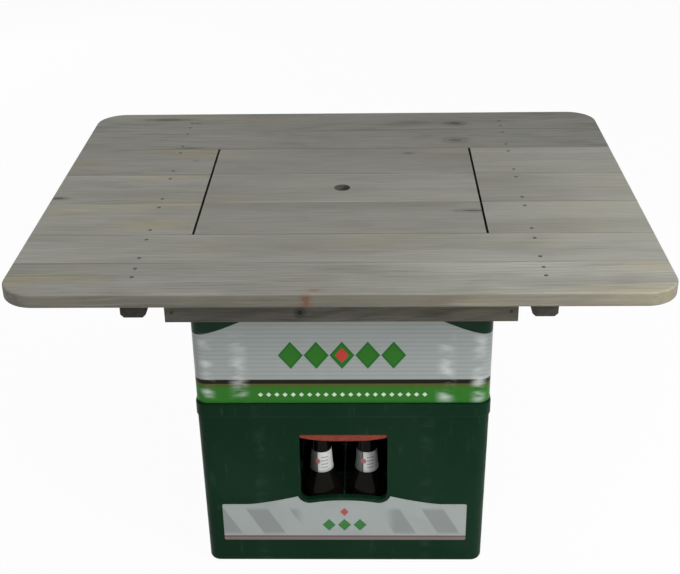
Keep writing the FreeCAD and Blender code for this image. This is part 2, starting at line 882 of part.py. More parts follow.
def main():
    """Build the table from the ground up and write it."""
    fill_sheet()
    for crate, base in (("lower", "0"), ("upper", "upper_base")):
        build_crate(crate, base)
        build_strips(crate, base)
    build_grips()
    build_bottles()
    nail_holes = fasteners("plank_nails", size("nail_length"), plank_nail_places())
    collar_holes = fasteners("collar_screws", size("collar_screw_length"), collar_screw_places())
    side_holes = fasteners("side_screws", size("side_screw_length"), side_screw_places())
    hatch_holes = fasteners("hatch_screws", size("hatch_screw_length"), hatch_screw_places())
    build_boards(nail_holes)
    build_cross_battens(joined([nail_holes, side_holes], "batten_holes"))
    build_collar(joined([collar_holes, side_holes], "collar_holes"))
    build_hatch(hatch_holes)
    check_and_write()


main()
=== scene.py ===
"""Dress the crate table: washed boards, moulded crates with plain printed bands, bottles and studio."""

import logging
import math
from collections.abc import Iterable
from dataclasses import dataclass, field, replace
from enum import Enum
from functools import reduce

import bmesh
import bpy
from mathutils import Matrix, Vector


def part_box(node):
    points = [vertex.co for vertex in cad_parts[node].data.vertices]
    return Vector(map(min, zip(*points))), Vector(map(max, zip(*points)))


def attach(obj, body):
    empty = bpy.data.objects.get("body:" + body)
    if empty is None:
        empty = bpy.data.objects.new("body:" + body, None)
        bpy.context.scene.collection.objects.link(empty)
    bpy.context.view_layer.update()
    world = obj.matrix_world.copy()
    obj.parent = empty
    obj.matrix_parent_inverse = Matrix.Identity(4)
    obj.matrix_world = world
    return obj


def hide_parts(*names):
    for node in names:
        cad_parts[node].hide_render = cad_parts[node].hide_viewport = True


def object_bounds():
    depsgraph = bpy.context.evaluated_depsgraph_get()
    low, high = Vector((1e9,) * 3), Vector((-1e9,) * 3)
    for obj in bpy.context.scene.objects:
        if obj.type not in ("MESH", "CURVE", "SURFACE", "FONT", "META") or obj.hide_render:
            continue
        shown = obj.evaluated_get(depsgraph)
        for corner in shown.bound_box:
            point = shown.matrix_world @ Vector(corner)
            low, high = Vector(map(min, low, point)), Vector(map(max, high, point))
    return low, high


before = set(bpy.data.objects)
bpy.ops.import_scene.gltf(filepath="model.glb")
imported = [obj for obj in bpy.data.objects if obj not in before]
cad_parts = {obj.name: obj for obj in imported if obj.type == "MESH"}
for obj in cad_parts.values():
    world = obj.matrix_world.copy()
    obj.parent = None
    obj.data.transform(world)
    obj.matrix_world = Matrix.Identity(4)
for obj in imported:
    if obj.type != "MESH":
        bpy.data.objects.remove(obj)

CAD_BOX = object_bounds()
LOG = logging.getLogger("crate_table")
MILLIMETRE = 0.001
ORIGIN = (0.0, 0.0, 0.0)
PHOTO_WIDTH = 680
WHITE = (1.0, 1.0, 1.0, 1.0)

Socket = bpy.types.NodeSocket
Shade = tuple[int, int, int]
Colour = tuple[float, float, float, float]
Pair = tuple[float, float]
Triple = tuple[float, float, float] | Vector
Profile = tuple[Pair, ...]
Value = Socket | Shade | Colour | Triple | float
Inputs = dict[str | int, Value]


def linear(shade: Shade | Socket) -> Colour | Socket:
    """Turn a shade into the linear colour that a shader takes, and leave a socket as it is.

    Args:
        shade: Red, green and blue from 0 to 255, or a socket.

    Returns:
        The linear colour with full alpha, or the socket.
    """
    if isinstance(shade, bpy.types.NodeSocket):
        return shade
    shares = [value / 255 for value in shade]
    lit = [share / 12.92 if share <= 0.04045 else ((share + 0.055) / 1.055) ** 2.4 for share in shares]
    return (lit[0], lit[1], lit[2], 1.0)


class Axis(Enum):
    """An axis of the table's frame."""

    X = 0
    Y = 1
    Z = 2


class Nodes:
    """A node tree, with short calls that add, set and link its nodes."""

    def __init__(self, tree: bpy.types.NodeTree) -> None:
        """Empty a tree and take it over."""
        self.tree = tree
        tree.nodes.clear()

    def feed(self, node: bpy.types.Node, inputs: Inputs) -> None:
        """Set or link inputs of a node.

        Args:
            node: The node.
            inputs: Values or sockets by the input's name or number.
        """
        for key, value in inputs.items():
            if isinstance(value, bpy.types.NodeSocket):
                self.tree.links.new(value, node.inputs[key])
            else:
                node.inputs[key].default_value = value

    def add(self, kind: str, inputs: Inputs, **settings: str) -> bpy.types.Node:
        """Add a node.

        Args:
            kind: The node's type without its prefix.
            inputs: Values or sockets by the input's name or number.
            settings: The node's own settings.

        Returns:
            The node.
        """
        node = self.tree.nodes.new(f"ShaderNode{kind}")
        for name, setting in settings.items():
            setattr(node, name, setting)
        self.feed(node, inputs)
        return node

    def math(self, operation: str, first: Value, second: Value = 0.0) -> Socket:
        """Add a Math node with one or two inputs."""
        return self.add("Math", {0: first, 1: second}, operation=operation).outputs[0]


class Graph(Nodes):
    """A material's node tree, with the nodes that the finishes share."""

    def __init__(self, name: str) -> None:
        """Start a material with a Principled shader.

        Args:
            name: The material's name.
        """
        self.material = bpy.data.materials.new(name)
        self.material.use_nodes = True
        super().__init__(self.material.node_tree)
        self.shader = self.add("BsdfPrincipled", {})
        self.add("OutputMaterial", {"Surface": self.shader.outputs["BSDF"]})
        surface = self.add("TexCoord", {})
        self.place = surface.outputs["Object"]
        self.normal = surface.outputs["Normal"]

    def product(self, *factors: Value) -> Socket:
        """Multiply two or more values."""
        return reduce(lambda total, factor: self.math("MULTIPLY", total, factor), factors)

    def part(self, axis: Axis) -> Socket:
        """Give one coordinate of the surface point in metres."""
        return self.add("SeparateXYZ", {0: self.place}).outputs[axis.value]

    def facing(self, axis: Axis) -> Socket:
        """Give how squarely the surface faces along an axis, from 0 for edge-on to 1, whichever way."""
        return self.math("ABSOLUTE", self.add("SeparateXYZ", {0: self.normal}).outputs[axis.value])

    def outward(self) -> Socket:
        """Give 1 where the surface faces away from the table's middle and 0 where it faces inward."""
        dot = self.add("VectorMath", {0: self.normal, 1: self.place}, operation="DOT_PRODUCT")
        return self.math("GREATER_THAN", dot.outputs["Value"], 0.0)

    def away(self, value: Socket, centre: float) -> Socket:
        """Give the distance of a value from a centre."""
        return self.math("ABSOLUTE", self.math("SUBTRACT", value, centre))

    def aside(self, axis: Axis) -> Socket:
        """Give the distance of the surface point from the table's middle along an axis."""
        return self.away(self.part(axis), 0.0)

    def mapped(self, scale: Triple, shift: Triple = ORIGIN, point: Socket | None = None) -> Socket:
        """Scale a point, or the surface point if none is given, then shift it in scaled units."""
        inputs = {"Vector": point or self.place, "Scale": scale, "Location": shift}
        return self.add("Mapping", inputs).outputs[0]

    def turned(self, point: Socket, turn: Triple) -> Socket:
        """Turn a point about the origin, by radians about each axis."""
        return self.add("Mapping", {"Vector": point, "Rotation": turn}).outputs[0]

    def noise(self, point: Socket, detail: float) -> Socket:
        """Add a noise of about 0.5 on average, one unit to a lump, with this many finer layers."""
        return self.add("TexNoise", {"Vector": point, "Scale": 1.0, "Detail": detail}).outputs["Fac"]

    def lumps(self, scale: Triple, detail: float) -> Socket:
        """Add a noise over the surface, with the number of lumps to a metre along each axis."""
        return self.noise(self.mapped(scale), detail)

    def wander(self, scale: Triple, shift: Triple, reach: float) -> Socket:
        """Push the surface point about with a slow noise, so that straight grain bends.

        Args:
            scale: Scale of the noise along each axis.
            shift: Shift of the noise.
            reach: How far it pushes in metres.

        Returns:
            The pushed point.
        """
        noise = self.add("TexNoise", {"Vector": self.mapped(scale, shift), "Scale": 1.0, "Detail": 1.0})
        centred = {0: noise.outputs["Color"], 1: (0.5, 0.5, 0.5)}
        push = self.add("VectorMath", centred, operation="SUBTRACT").outputs[0]
        pushed = {0: push, 1: (reach, reach, reach), 2: self.place}
        return self.add("VectorMath", pushed, operation="MULTIPLY_ADD").outputs[0]

    def rings(self, point: Socket, scale: float, warp: float) -> Socket:
        """Add growth rings about the X axis, from 0 to 1, which wander by the warp."""
        inputs = {"Vector": point, "Scale": scale, "Distortion": warp, "Detail": 2.0, "Detail Scale": 1.2}
        return self.add("TexWave", inputs, wave_type="RINGS", rings_direction="X").outputs["Fac"]

    def spread(self, value: Value, low: float, high: float, first: float = 0.0, last: float = 1.0) -> Socket:
        """Map a value smoothly from the range low to high onto the range first to last, clamped."""
        inputs = {"Value": value, "From Min": low, "From Max": high, "To Min": first, "To Max": last}
        return self.add("MapRange", inputs, interpolation_type="SMOOTHSTEP").outputs["Result"]

    def coat(self, pattern: Socket, start: float, full: float, share: float = 1.0) -> Socket:
        """Give the share of a thin coat that follows a pattern, from its start to where it is full."""
        return self.spread(pattern, start, full, 0.0, share)

    def below(self, value: Value, limit: float, soft: float) -> Socket:
        """Give 1 where a value lies below a limit, with a soft edge."""
        return self.spread(value, limit + soft, limit - soft)

    def band(self, value: Value, low: float, high: float, soft: float) -> Socket:
        """Give 1 where a value lies between two limits, with soft edges."""
        return self.product(self.spread(value, low - soft, low + soft), self.below(value, high, soft))

    def cell(self, value: Socket, pitch: float) -> Socket:
        """Give the distance from the middle of the nearest cell in a row that has a cell at 0."""
        turns = self.math("FRACT", self.math("ADD", self.math("DIVIDE", value, pitch), 0.5))
        return self.product(self.away(turns, 0.5), pitch)

    def lozenge(self, along: Socket, high: Socket, half: float, size: Pair) -> Socket:
        """Give 1 inside a lozenge, from the distances to its middle and its size in half pitches."""
        reach = [self.math("DIVIDE", leg, half * share) for leg, share in zip((along, high), size)]
        return self.below(self.math("ADD", *reach), 1.0, 0.03)

    def mix(self, share: Value, first: Value, second: Value, blend: str = "MIX") -> Socket:
        """Mix two shades or sockets by the share of the second, in a blend mode."""
        inputs = {"Factor": share, 6: linear(first), 7: linear(second)}
        return self.add("Mix", inputs, data_type="RGBA", blend_type=blend).outputs[2]

    def layered(self, colour: Value, layers: Iterable[tuple[Value, Value]]) -> Socket:
        """Lay layers over a colour.

        Args:
            colour: The shade or socket below.
            layers: The share and the shade or socket of each layer, the lowest first.

        Returns:
            The colour with its layers.
        """
        for share, layer in layers:
            colour = self.mix(share, colour, layer)
        return colour

    def surface(self, colour: Value, roughness: Value, shine: float, metallic: float = 0.0) -> None:
        """Give the shader its colour, roughness, specular level and metallic share."""
        gloss = {"Roughness": roughness, "Specular IOR Level": shine, "Metallic": metallic}
        self.feed(self.shader, {"Base Color": colour, **gloss})

    def bump(self, height: Socket, strength: float, depth: float) -> None:
        """Roughen the surface by a height pattern, with how much of it shows and its depth in metres."""
        node = self.add("Bump", {"Height": height, "Strength": strength, "Distance": depth})
        self.feed(self.shader, {"Normal": node.outputs["Normal"]})


class Finish:
    """A finish that a material can be made of."""

    def paint(self, graph: Graph) -> None:
        """Paint a material's graph."""
        raise NotImplementedError

    def material(self, name: str) -> bpy.types.Material:
        """Make a material with this finish.

        Args:
            name: The material's name.

        Returns:
            The material.
        """
        graph = Graph(name)
        self.paint(graph)
        return graph.material


class Face(Enum):
    """The face of a board that a mark lies on, with the two axes that it spreads along."""

    TOP = (Axis.X, Axis.Y)
    FRONT = (Axis.X, Axis.Z)


class Stain(Enum):
    """The shade that a knot stains the wood, and how uneven its edge is."""

    DARK = ((56, 53, 45), 0.8)
    RED = ((118, 76, 54), 2.4)


@dataclass(frozen=True)
class Knot:
    """A knot or mark in a board, placed in millimetres along the two axes of its face."""

    along: float
    across: float
    length: float
    width: float
    strength: float = 0.6
    stain: Stain = Stain.DARK
    face: Face = Face.TOP


class Grain(Enum):
    """A layer of the grain: its scale along and across the wood, its detail and its shift with the seed."""

    FIBRE = (16.0, 430.0, 5.0, 1.0)
    STREAK = (5.5, 105.0, 5.0, 2.0)
    BLOTCH = (11.0, 40.0, 4.0, 7.0)
    CLOUD = (2.6, 15.0, 3.0, 3.0)
    PATCH = (4.2, 19.0, 2.0, 5.0)


@dataclass(frozen=True)
class WashedWood(Finish):
    """Grey-washed softwood: wandering grain, blotches, warm patches, growth rings, knots and seams.

    The tone runs from one end of the wood to the other, and the ends are given in metres; it holds painted
    light and shade as well as the wood's own tone, and side faces inside the opening take a painted shade.
    """

    tone: Pair = (1.0, 1.0)
    ends: Pair = (-0.4, 0.4)
    warmth: float = 0.3
    seed: float = 0.0
    grain: float = 1.0
    knots: tuple[Knot, ...] = ()
    seams: tuple[float, ...] = ()
    grain_axis: Axis = Axis.X
    shade: Shade = (136, 135, 127)
    pale: Shade = (156, 156, 149)
    dark: Shade = (98, 98, 91)
    tan: Shade = (148, 140, 112)
    edge: Shade = (116, 112, 100)
    # Painted shade: the dark colour that side faces take inside the hatch opening, as far as inner_half
    # reaches.
    inner: Shade = (60, 56, 48)
    inner_half: Pair = (0.0, 0.0)
    # The seam line: a dark joint that also paints the shade of the board edges, or a painted highlight of
    # the edges where it is set pale.
    seam: Shade = (76, 75, 68)
    seam_reach: float = 0.0016
    seam_share: Pair = (0.0, 0.22)
    bend: float = 0.008
    core_depth: float = 0.56
    ring_scale: float = 42.0
    ring_warp: float = 1.6
    roughness: Pair = (0.60, 0.74)
    shine: float = 0.2
    relief: Pair = (0.3, 0.0005)

    def along(self, long: float, across: float) -> Triple:
        """Give a scale with one value along the grain and another across it."""
        return tuple(long if axis is self.grain_axis else across for axis in Axis)

    def paint(self, graph: Graph) -> None:
        """Lay the wash, the grain, the knots and the seams over each other.

        Args:
            graph: The material's graph.
        """
        shift = Vector((1.7, 0.9, 0.37)) * self.seed
        bent = graph.wander(self.along(5.0, 11.0), shift * 4.0, self.bend)
        fibre, streak, blotch, cloud, patch = (
            graph.noise(graph.mapped(self.along(long, across), shift * times, bent), detail)
            for long, across, detail, times in (layer.value for layer in Grain)
        )
        rings = self._rings(graph, bent)
        side = graph.spread(graph.facing(Axis.Z), 0.75, 0.35)
        streaky = graph.spread(streak, 0.34, 0.60, 0.45, 1.0)
        colour = graph.layered(self.shade, (
            (side, self.edge),
            (graph.coat(cloud, 0.46, 0.70, 0.45), self.pale),
            (graph.coat(cloud, 0.48, 0.28, 0.40), self.dark),
            (graph.product(graph.coat(patch, 0.46, 0.68, self.warmth), streaky), self.tan),
            (graph.coat(blotch, 0.52, 0.74, 0.24 * self.grain), self.dark),
            (graph.coat(streak, 0.50, 0.72, 0.22 * self.grain), self.dark),
            (graph.coat(streak, 0.47, 0.28, 0.16 * self.grain), self.pale),
            (graph.coat(rings, 0.50, 1.00, 0.13 * self.grain), self.dark),
            (graph.coat(fibre, 0.52, 0.74, 0.30 * self.grain), self.dark),
            (graph.coat(fibre, 0.46, 0.26, 0.26 * self.grain), self.pale),
        ))
        for knot in self.knots:
            colour = self._knot(graph, colour, knot, bent)
        # Painted shade on the side faces in the gap round the hatch and in its finger hole.
        painted_shade_sides = side
        for axis, half in zip((Axis.X, Axis.Y), self.inner_half):
            painted_shade_sides = graph.product(painted_shade_sides, graph.math("LESS_THAN", graph.aside(axis), half))
        colour = graph.mix(painted_shade_sides, colour, self.inner)
        # Seam lines: dark joints with painted edge shade, or a painted highlight where the seam colour is
        # pale.
        marks_and_painted_light = graph.spread(blotch, 0.62, 0.40, *self.seam_share)
        for seam in self.seams:
            near = graph.spread(graph.away(graph.part(Axis.Y), seam), self.seam_reach, self.seam_reach / 3)
            colour = graph.mix(graph.product(near, marks_and_painted_light), colour, self.seam)
        # Painted light and shade: the tone along the wood also darkens or lightens it as the light falls.
        tone = graph.spread(graph.part(self.grain_axis), *self.ends, *self.tone)
        colour = graph.mix(1.0, colour, tone, "MULTIPLY")
        graph.surface(colour, graph.spread(fibre, 0.3, 0.7, *self.roughness), self.shine)
        graph.bump(graph.math("ADD", fibre, graph.product(rings, 0.5)), *self.relief)

    def _rings(self, graph: Graph, point: Socket) -> Socket:
        """Give growth rings about a core that runs below the board at a slant, for arched grain.

        Args:
            graph: The material's graph.
            point: Where they are read.

        Returns:
            The rings, from 0 to 1.
        """
        aside = 0.25 * math.sin(self.seed * 2.1)
        depth = 0.01 * math.cos(self.seed) - self.core_depth
        core = (0.3 * math.sin(self.seed), aside, depth)
        slant = (0.0, 0.30 * math.cos(self.seed * 1.7), 0.02 * math.sin(self.seed * 1.3))
        drawn_out = graph.mapped(self.along(0.10, 1.0), core, graph.turned(point, slant))
        return graph.rings(drawn_out, self.ring_scale, self.ring_warp)

    def _knot(self, graph: Graph, colour: Socket, knot: Knot, point: Socket) -> Socket:
        """Draw one knot: an eye, the grain that is stained beside it and, on a dark one, a ring.

        Args:
            graph: The material's graph.
            colour: The colour below.
            knot: The knot.
            point: The point that the grain is read at.

        Returns:
            The colour with the knot.
        """
        stain, unevenness = knot.stain.value
        rough = graph.noise(graph.mapped(self.along(45.0, 150.0), (knot.along, 0.0, 0.0), point), 3.0)
        rough = graph.product(graph.math("SUBTRACT", rough, 0.5), unevenness)
        square: Value = 0.0
        sizes = zip(knot.face.value, (knot.along, knot.across), (knot.length, knot.width))
        for axis, centre, extent in sizes:
            distance = graph.away(graph.part(axis), centre * MILLIMETRE)
            share = graph.math("DIVIDE", distance, extent / 2 * MILLIMETRE)
            square = graph.math("ADD", square, graph.math("POWER", share, 2.0))
        reach = graph.math("ADD", graph.math("SQRT", square), rough)
        shown: Value = knot.strength
        if knot.face is Face.FRONT:
            shown = graph.product(graph.spread(graph.facing(Axis.Y), 0.2, 0.7), knot.strength)
        halo = graph.spread(reach, 2.5, 0.9)
        eye = graph.spread(reach, 1.05, 0.45)
        layers = [(halo, 0.4), (eye, 1.0)]
        if knot.stain is Stain.DARK:
            layers.append((graph.band(reach, 1.2, 1.4, 0.12), 0.5))
        return graph.layered(colour, [(graph.product(mask, depth, shown), stain) for mask, depth in layers])


@dataclass(frozen=True)
class CratePlastic(Finish):
    """Dark green moulded plastic, scuffed, with soft waviness, painted reflections in columns on its long
    sides and painted highlight lines along ledges.
    """

    body: Shade = (12, 43, 26)
    # This lighter colour serves scuffs and also the painted reflections and painted ledge highlights.
    marks_and_painted_light: Shade = (42, 68, 54)
    shine: float = 0.05
    roughness: Pair = (0.30, 0.48)
    relief: Pair = (0.30, 0.004)
    # Heights of ledges that carry a painted highlight line.
    ledge_highlights: tuple[float, ...] = ()
    ledge_highlight_half: float = 0.0016
    # Columns of painted reflection on either side of the middle of the long sides.
    reflection_at: float = 0.115
    reflection_half: float = 0.007
    reflection_share: float = 0.38

    def base(self, graph: Graph) -> Socket:
        """Give the scuffed green colour with its painted reflections and painted ledge highlights.

        Args:
            graph: The material's graph.

        Returns:
            The colour.
        """
        scuff = graph.lumps((90.0, 90.0, 24.0), 5.0)
        cloud = graph.lumps((7.0, 7.0, 5.0), 3.0)
        # Scuffs and cloud, then the painted reflection columns, then painted highlights along the ledges.
        shares = [
            graph.coat(cloud, 0.40, 0.75, 0.18),
            graph.coat(scuff, 0.60, 0.74, 0.35),
            graph.product(self._reflection_column(graph, self.reflection_at, self.reflection_half), self.reflection_share),
        ]
        uneven = graph.spread(cloud, 0.35, 0.60, 0.15, 0.55)
        for ledge in self.ledge_highlights:
            near = graph.spread(graph.away(graph.part(Axis.Z), ledge), self.ledge_highlight_half, self.ledge_highlight_half / 4)
            shares.append(graph.product(near, uneven))
        return graph.layered(self.body, [(share, self.marks_and_painted_light) for share in shares])

    def _reflection_column(self, graph: Graph, centre: float, half: float) -> Socket:
        """Give a painted reflection: short uneven dashes one above the other, on both sides of the front's
        and the back's middle.

        Args:
            graph: The material's graph.
            centre: Distance of the column from the middle.
            half: Half its width.

        Returns:
            The mask.
        """
        across = graph.spread(graph.away(graph.aside(Axis.X), centre), half * 2.0, 0.0)
        dashes = graph.spread(graph.lumps((20.0, 20.0, 66.0), 3.0), 0.42, 0.68)
        return graph.product(across, graph.facing(Axis.Y), dashes)

    def paint(self, graph: Graph) -> None:
        """Paint the plain plastic."""
        self.finish(graph, self.base(graph))

    def finish(self, graph: Graph, colour: Socket) -> None:
        """Give the graph its colour, gloss and waviness.

        Args:
            graph: The material's graph.
            colour: The colour.
        """
        scuff = graph.lumps((120.0, 120.0, 40.0), 4.0)
        wave = graph.lumps((34.0, 34.0, 7.0), 2.0)
        graph.surface(colour, graph.spread(scuff, 0.4, 0.7, *self.roughness), self.shine)
        graph.bump(graph.math("ADD", wave, graph.product(scuff, 0.06)), *self.relief)


@dataclass(frozen=True)
class PrintedBands(CratePlastic):
    """The upper crate's plastic with a printed pale panel, ruled lines and a green band all round.

    Heights are above the bottom of the crate's wall, and the inside of the crate stays plain.
    """

    corner: Pair = (0.0, 0.0)
    bottom: float = 0.0
    shine: float = 0.12
    crisp: float = 0.0004
    # Painted shade darkening the band towards the crate's bottom edge: the heights where it starts and where
    # it is full, and its share.
    bottom_shade_rows: Pair = (0.008, 0.001)
    bottom_shade_share: float = 0.7
    green_top: float = 0.0270
    gold_top: float = 0.0321
    line_top: float = 0.0385
    panel_edge: float = 0.107
    panel_rise: float = 0.036
    rise_run: Pair = (0.004, 0.125)
    rule_pitch: float = 0.0064
    rule_edges: Pair = (0.3, 0.1)
    motif_height: float = 0.076
    motif_pitch: float = 0.034
    motif_count: int = 5
    motif_sizes: tuple[Pair, ...] = ((0.97, 1.2222), (0.79, 0.9954))
    spot_size: Pair = (0.53, 0.67)
    bead_height: float = 0.0150
    bead_pitch: float = 0.011
    bead_size: Pair = (0.62, 0.62)
    bead_row: float = 0.1155
    row_edge: float = 0.0001
    glints: tuple[Pair, ...] = ((0.138, 0.0085), (0.181, 0.0070))
    glint_foot: float = 0.004
    glint_fade: float = 0.006
    glint_share: float = 0.66
    silver: Shade = (159, 165, 163)
    rule: Shade = (152, 158, 156)
    glare: Shade = (214, 220, 217)
    green: Shade = (46, 112, 34)
    leaf: Shade = (30, 102, 34)
    line: Shade = (24, 22, 8)
    gold: Shade = (78, 90, 38)
    red: Shade = (190, 62, 58)
    bead: Shade = (206, 218, 200)

    def paint(self, graph: Graph) -> None:
        """Print the panel, the lines and the band over the plastic.

        Args:
            graph: The material's graph.
        """
        height = graph.math("SUBTRACT", graph.part(Axis.Z), self.bottom)
        runs = [
            graph.math("SUBTRACT", reach, graph.aside(axis))
            for axis, reach in zip((Axis.X, Axis.Y), self.corner)
        ]
        rise = graph.spread(graph.math("MAXIMUM", *runs), *self.rise_run, 0.0, self.panel_rise)
        room = graph.math("SUBTRACT", graph.math("ADD", rise, self.panel_edge), height)
        panel = graph.product(
            graph.spread(room, -self.crisp, self.crisp),
            graph.spread(height, self.line_top - self.crisp, self.line_top + self.crisp),
        )
        outside = graph.outward()
        upright = graph.product(graph.spread(graph.facing(Axis.Z), 0.6, 0.4), outside)
        layers = (
            (panel, self._panel(graph, height)),
            (graph.band(height, self.gold_top, self.line_top, self.crisp), self.line),
            (graph.band(height, self.green_top, self.gold_top, self.crisp), self.gold),
            (graph.below(height, self.green_top, self.crisp), self.green),
            # Painted shade: the band darkens towards the crate's bottom edge.
            (graph.spread(height, *self.bottom_shade_rows, 0.0, self.bottom_shade_share), self.leaf),
            (self._beads(graph, height), self.bead),
        )
        bands = [(graph.product(mask, upright), layer) for mask, layer in layers]
        shown = graph.band(height, self.glint_foot, self.panel_edge, self.glint_fade)
        shown = graph.product(shown, outside, self.glint_share)
        glints = [(graph.product(self._reflection_column(graph, *glint), shown), self.glare) for glint in self.glints]
        self.finish(graph, graph.layered(self.base(graph), bands + glints))

    def _front(self, graph: Graph, row: float) -> Socket:
        """Give 1 on the front and the back, up to half a row's length from the middle."""
        front = graph.spread(graph.facing(Axis.Y), 0.6, 0.8)
        return graph.product(front, graph.below(graph.aside(Axis.X), row, self.row_edge))

    def _panel(self, graph: Graph, height: Socket) -> Socket:
        """Draw the ruled panel with a plain row of lozenges on the front and the back.

        Args:
            graph: The material's graph.
            height: Height above the bottom of the crate's wall.

        Returns:
            The panel's colour.
        """
        edges = [self.rule_pitch * edge for edge in self.rule_edges]
        ruled = graph.spread(graph.cell(height, self.rule_pitch), *edges)
        high = graph.away(height, self.motif_height)
        along = graph.cell(graph.part(Axis.X), self.motif_pitch)
        half = self.motif_pitch / 2
        inside = self._front(graph, self.motif_count * half)
        outer, inner = (graph.lozenge(along, high, half, size) for size in self.motif_sizes)
        spot = graph.lozenge(graph.aside(Axis.X), high, half, self.spot_size)
        lozenges = ((outer, self.leaf), (inner, self.green), (spot, self.red))
        marks = [(graph.product(inside, mask), shade) for mask, shade in lozenges]
        return graph.layered(self.silver, [(ruled, self.rule), *marks])

    def _beads(self, graph: Graph, height: Socket) -> Socket:
        """Give a row of small pale beads along the green band.

        Args:
            graph: The material's graph.
            height: Height above the bottom of the crate's wall.

        Returns:
            The mask.
        """
        along = graph.cell(graph.part(Axis.X), self.bead_pitch)
        high = graph.away(height, self.bead_height)
        bead = graph.lozenge(along, high, self.bead_pitch / 2, self.bead_size)
        return graph.product(bead, self._front(graph, self.bead_row))


@dataclass(frozen=True)
class LabelFilm(Finish):
    """The pale printed film on the lower crate: soft slanted bands, a row of lozenges and two thin lines.

    Heights are above the film's lower edge.
    """

    bottom: float
    band_pitch: float = 0.062
    band_slope: float = 9.0
    band_share: Pair = (0.25, 0.75)
    band_rows: Pair = (0.012, 0.055)
    band_from: Pair = (0.055, 0.075)
    band_edge: float = 0.02
    band_fade: float = 0.004
    mark_pitch: float = 0.022
    mark_count: int = 3
    mark_height: float = 0.027
    mark_size: Pair = (0.86, 0.95)
    spot_height: float = 0.050
    spot_size: Pair = (0.55, 0.64)
    row_edge: float = 0.0001
    crisp: float = 0.0003
    line: Pair = (0.0047, 0.0078)
    strip: Pair = (-0.001, 0.0047)
    roughness: Pair = (0.36, 0.52)
    shine: float = 0.25
    relief: Pair = (0.25, 0.003)
    pale: Shade = (160, 167, 165)
    grey: Shade = (138, 143, 142)
    wine: Shade = (104, 82, 83)
    rose: Shade = (126, 113, 111)
    leaf: Shade = (54, 116, 58)
    red: Shade = (170, 78, 72)

    def paint(self, graph: Graph) -> None:
        """Print the bands, marks and lines on the film.

        Args:
            graph: The material's graph.
        """
        x = graph.part(Axis.X)
        middle = graph.aside(Axis.X)
        height = graph.math("SUBTRACT", graph.part(Axis.Z), self.bottom)
        slope = graph.product(height, self.band_slope)
        slant = graph.math("ADD", graph.math("DIVIDE", x, self.band_pitch), slope)
        ghost = graph.product(
            graph.band(graph.math("FRACT", slant), *self.band_share, self.band_edge),
            graph.spread(middle, *self.band_from),
            graph.band(height, *self.band_rows, self.band_fade),
        )
        smear = graph.lumps((14.0, 14.0, 30.0), 4.0)
        half = self.mark_pitch / 2
        high = graph.away(height, self.mark_height)
        mark = graph.lozenge(graph.cell(x, self.mark_pitch), high, half, self.mark_size)
        inside = graph.below(middle, self.mark_count * half, self.row_edge)
        spot = graph.lozenge(middle, graph.away(height, self.spot_height), half, self.spot_size)
        colour = graph.layered(self.pale, (
            (ghost, self.grey),
            (graph.coat(smear, 0.45, 0.75, 0.30), self.grey),
            (graph.product(inside, mark), self.leaf),
            (spot, self.red),
            (graph.band(height, *self.line, self.crisp), self.wine),
            (graph.band(height, *self.strip, self.crisp), self.rose),
        ))
        graph.surface(colour, graph.spread(smear, 0.3, 0.7, *self.roughness), self.shine)
        graph.bump(graph.lumps((34.0, 34.0, 7.0), 2.0), *self.relief)


@dataclass(frozen=True)
class PlainFinish(Finish):
    """A one-colour finish with a fine mottle, which has so many grains to a metre."""

    colour: Shade
    mottle: Shade
    roughness: Pair
    grain: float = 160.0
    metallic: float = 0.0
    shine: float = 0.5
    relief: Pair = (0.12, 0.0004)

    def paint(self, graph: Graph) -> None:
        """Paint the mottled colour.

        Args:
            graph: The material's graph.
        """
        speck = graph.lumps((self.grain, self.grain, self.grain), 4.0)
        colour = graph.mix(graph.coat(speck, 0.42, 0.70), self.colour, self.mottle)
        graph.surface(colour, graph.spread(speck, 0.3, 0.7, *self.roughness), self.shine, self.metallic)
        graph.bump(speck, *self.relief)


